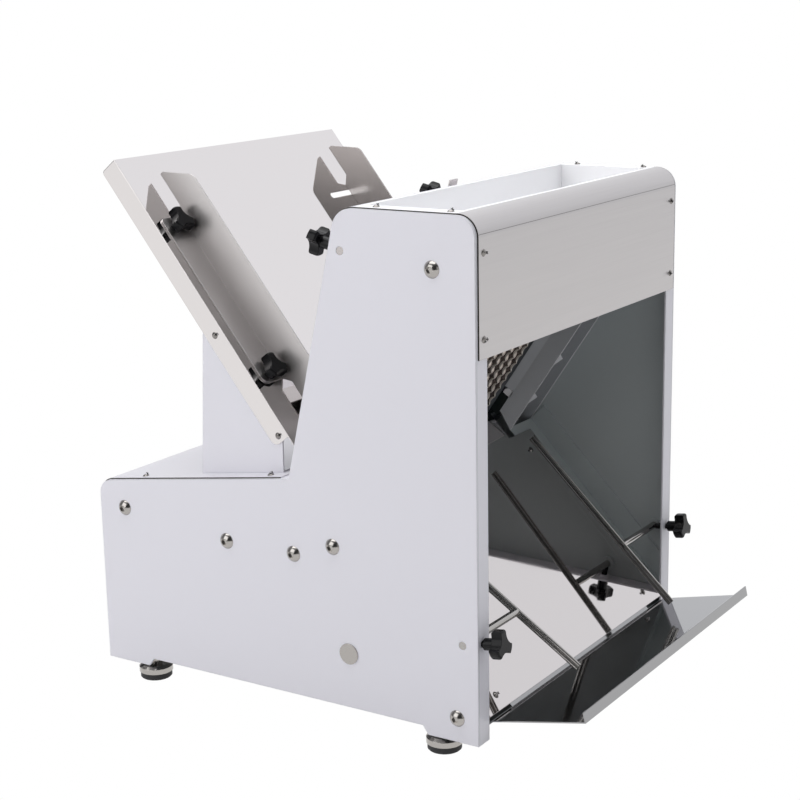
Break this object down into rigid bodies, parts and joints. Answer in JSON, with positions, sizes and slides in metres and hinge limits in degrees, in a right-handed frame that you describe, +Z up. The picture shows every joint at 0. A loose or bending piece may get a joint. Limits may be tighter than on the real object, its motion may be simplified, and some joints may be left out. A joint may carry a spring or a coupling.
{
  "type": "continuous bread slicer",
  "caption": "Floor or bench standing bread slicer: an inclined feed chute, two reciprocating blade frames, a discharge slide with a lip tray and a crumb drawer.",
  "frame": {"origin": "centre of the bounding box, on the floor under the feet", "axes": "+Z up, -Y towards the discharge side where the slices come out, +Y towards the feed chute, X across the machine"},
  "size_m": [0.5644, 0.7232, 0.703],
  "materials": {
    "powder_coat": "satin",
    "polished_steel": "polished",
    "brushed_steel": "satin",
    "bare_frame": "satin",
    "inner_paint": "matte",
    "black_plastic": "gloss",
    "green_plastic": "gloss",
    "red_plastic": "gloss",
    "rubber": "matte"
  },
  "bodies": {
    "housing": {"left_side_panel": "powder_coat", "right_side_panel": "powder_coat", "tie_bars": "brushed_steel", "panel_bolts": "polished_steel", "base_plate": "inner_paint", "foot_cups": "polished_steel", "foot_pads": "rubber", "deck": "powder_coat", "rear_cover": "powder_coat", "sheet_screws": "polished_steel", "chute_supports": "powder_coat", "feed_chute": "polished_steel", "top_cover": "powder_coat", "front_apron": "brushed_steel", "rear_hood": "powder_coat", "discharge_slide": "polished_steel", "slide_rails": "polished_steel", "lip_tray": "polished_steel", "left_blade_guard": "bare_frame", "right_blade_guard": "bare_frame", "guide_blocks": "black_plastic", "left_frame_plate": "inner_paint", "right_frame_plate": "inner_paint", "crank_bearings": "inner_paint", "motor": "inner_paint", "motor_plate": "inner_paint", "rod_collars": "powder_coat", "access_plug": "polished_steel", "cable_gland": "black_plastic", "v_belt": "rubber", "switch_box": "black_plastic"},
    "front_frame": {"front_blade_frame": "bare_frame", "front_blades": "brushed_steel"},
    "rear_frame": {"rear_blade_frame": "bare_frame", "rear_blades": "brushed_steel"},
    "crank": {"crankshaft": "inner_paint", "crank_pulley": "inner_paint"},
    "front_rod": {"front_connecting_rod": "inner_paint"},
    "rear_rod": {"rear_connecting_rod": "inner_paint"},
    "motor_shaft": {"motor_pulley": "inner_paint"},
    "left_feed": {"left_feed_guide": "brushed_steel", "left_guide_nuts": "brushed_steel"},
    "right_feed": {"right_feed_guide": "brushed_steel", "right_guide_nuts": "brushed_steel"},
    "upper_left_knob": {"upper_left_feed_knob": "black_plastic"},
    "lower_left_knob": {"lower_left_feed_knob": "black_plastic"},
    "upper_right_knob": {"upper_right_feed_knob": "black_plastic"},
    "lower_right_knob": {"lower_right_feed_knob": "black_plastic"},
    "left_outfeed": {"left_discharge_guide": "brushed_steel"},
    "right_outfeed": {"right_discharge_guide": "brushed_steel"},
    "left_front_clamp": {"left_front_knob": "black_plastic"},
    "right_front_clamp": {"right_front_knob": "black_plastic"},
    "flap": {"hold_down": "brushed_steel"},
    "left_rear_clamp": {"left_rear_knob": "black_plastic"},
    "right_rear_clamp": {"right_rear_knob": "black_plastic"},
    "gate": {"gate_plate": "brushed_steel"},
    "gate_clamp": {"gate_knob": "black_plastic"},
    "drawer": {"crumb_drawer": "brushed_steel"},
    "start": {"start_button": "green_plastic"},
    "stop": {"stop_button": "red_plastic"}
  },
  "joints": [
    {"name": "crank_turn", "type": "hinge", "parent": "housing", "child": "crank", "pos_m": [0, 0.13713, 0.15999], "axis": [1, 0, 0], "range_deg": [-35, 35]},
    {"name": "motor_turn", "type": "hinge", "parent": "housing", "child": "motor_shaft", "pos_m": [0, 0.27529, 0.15742], "axis": [1, 0, 0], "range_deg": [-84, 84]},
    {"name": "front_frame_slide", "type": "slide", "parent": "housing", "child": "front_frame", "axis": [0, -0.5592, 0.829], "range_m": [-0.0073, 0.0073]},
    {"name": "rear_frame_slide", "type": "slide", "parent": "housing", "child": "rear_frame", "axis": [0, -0.5592, 0.829], "range_m": [-0.0073, 0.0073]},
    {"name": "front_rod_turn", "type": "hinge", "parent": "crank", "child": "front_rod", "pos_m": [-0.03, 0.12676, 0.153], "axis": [1, 0, 0], "range_deg": [-36, 36]},
    {"name": "rear_rod_turn", "type": "hinge", "parent": "crank", "child": "rear_rod", "pos_m": [0.03, 0.14749, 0.16698], "axis": [1, 0, 0], "range_deg": [-36, 36]},
    {"name": "left_feed_slide", "type": "slide", "parent": "housing", "child": "left_feed", "axis": [1, 0, 0], "range_m": [-0.01, 0.066]},
    {"name": "right_feed_slide", "type": "slide", "parent": "housing", "child": "right_feed", "axis": [-1, 0, 0], "range_m": [-0.01, 0.066]},
    {"name": "upper_left_knob_turn", "type": "hinge", "parent": "left_feed", "child": "upper_left_knob", "pos_m": [-0.213, 0.25504, 0.61672], "axis": [0, -0.7848, 0.6198], "continuous": true},
    {"name": "lower_left_knob_turn", "type": "hinge", "parent": "left_feed", "child": "lower_left_knob", "pos_m": [-0.213, 0.11373, 0.43779], "axis": [0, -0.7848, 0.6198], "continuous": true},
    {"name": "upper_right_knob_turn", "type": "hinge", "parent": "right_feed", "child": "upper_right_knob", "pos_m": [0.213, 0.25504, 0.61672], "axis": [0, -0.7848, 0.6198], "continuous": true},
    {"name": "lower_right_knob_turn", "type": "hinge", "parent": "right_feed", "child": "lower_right_knob", "pos_m": [0.213, 0.11373, 0.43779], "axis": [0, -0.7848, 0.6198], "continuous": true},
    {"name": "left_outfeed_slide", "type": "slide", "parent": "housing", "child": "left_outfeed", "axis": [1, 0, 0], "range_m": [-0.09, 0.01]},
    {"name": "right_outfeed_slide", "type": "slide", "parent": "housing", "child": "right_outfeed", "axis": [-1, 0, 0], "range_m": [-0.06, 0.01]},
    {"name": "left_front_clamp_turn", "type": "hinge", "parent": "housing", "child": "left_front_clamp", "pos_m": [-0.264, -0.20961, 0.1495], "axis": [0, -0.9903, 0.1392], "continuous": true},
    {"name": "left_rear_clamp_turn", "type": "hinge", "parent": "housing", "child": "left_rear_clamp", "pos_m": [-0.264, -0.02991, 0.61709], "axis": [0, 0.9732, 0.23], "continuous": true},
    {"name": "right_front_clamp_turn", "type": "hinge", "parent": "housing", "child": "right_front_clamp", "pos_m": [0.264, -0.20961, 0.1495], "axis": [0, -0.9903, 0.1392], "continuous": true},
    {"name": "right_rear_clamp_turn", "type": "hinge", "parent": "housing", "child": "right_rear_clamp", "pos_m": [0.264, -0.02991, 0.61709], "axis": [0, 0.9732, 0.23], "continuous": true},
    {"name": "flap_swing", "type": "hinge", "parent": "housing", "child": "flap", "pos_m": [0, -0.04645, 0.61318], "axis": [1, 0, 0], "range_deg": [-20, 0]},
    {"name": "gate_slide", "type": "slide", "parent": "housing", "child": "gate", "axis": [0, -0.23, 0.9732], "range_m": [-0.006, 0.04]},
    {"name": "gate_clamp_turn", "type": "hinge", "parent": "housing", "child": "gate_clamp", "pos_m": [0, -0.03547, 0.64064], "axis": [0, 0.9732, 0.23], "continuous": true},
    {"name": "drawer_slide", "type": "slide", "parent": "housing", "child": "drawer", "axis": [0, 1, 0], "range_m": [0, 0.4]},
    {"name": "start_press", "type": "slide", "parent": "housing", "child": "start", "axis": [-1, 0, 0], "range_m": [0, 0.004], "stiffness_N_per_m": 400},
    {"name": "stop_press", "type": "slide", "parent": "housing", "child": "stop", "axis": [-1, 0, 0], "range_m": [0, 0.004], "stiffness_N_per_m": 400}
  ],
  "couplings": [
    {"joint": "motor_turn", "follows": "crank_turn", "ratio": 2.3333},
    {"joint": "front_frame_slide", "follows": "crank_turn", "m_per_rad": -0.011737},
    {"joint": "rear_frame_slide", "follows": "crank_turn", "m_per_rad": 0.011737},
    {"joint": "front_rod_turn", "follows": "crank_turn", "ratio": -1},
    {"joint": "rear_rod_turn", "follows": "crank_turn", "ratio": -1}
  ]
}
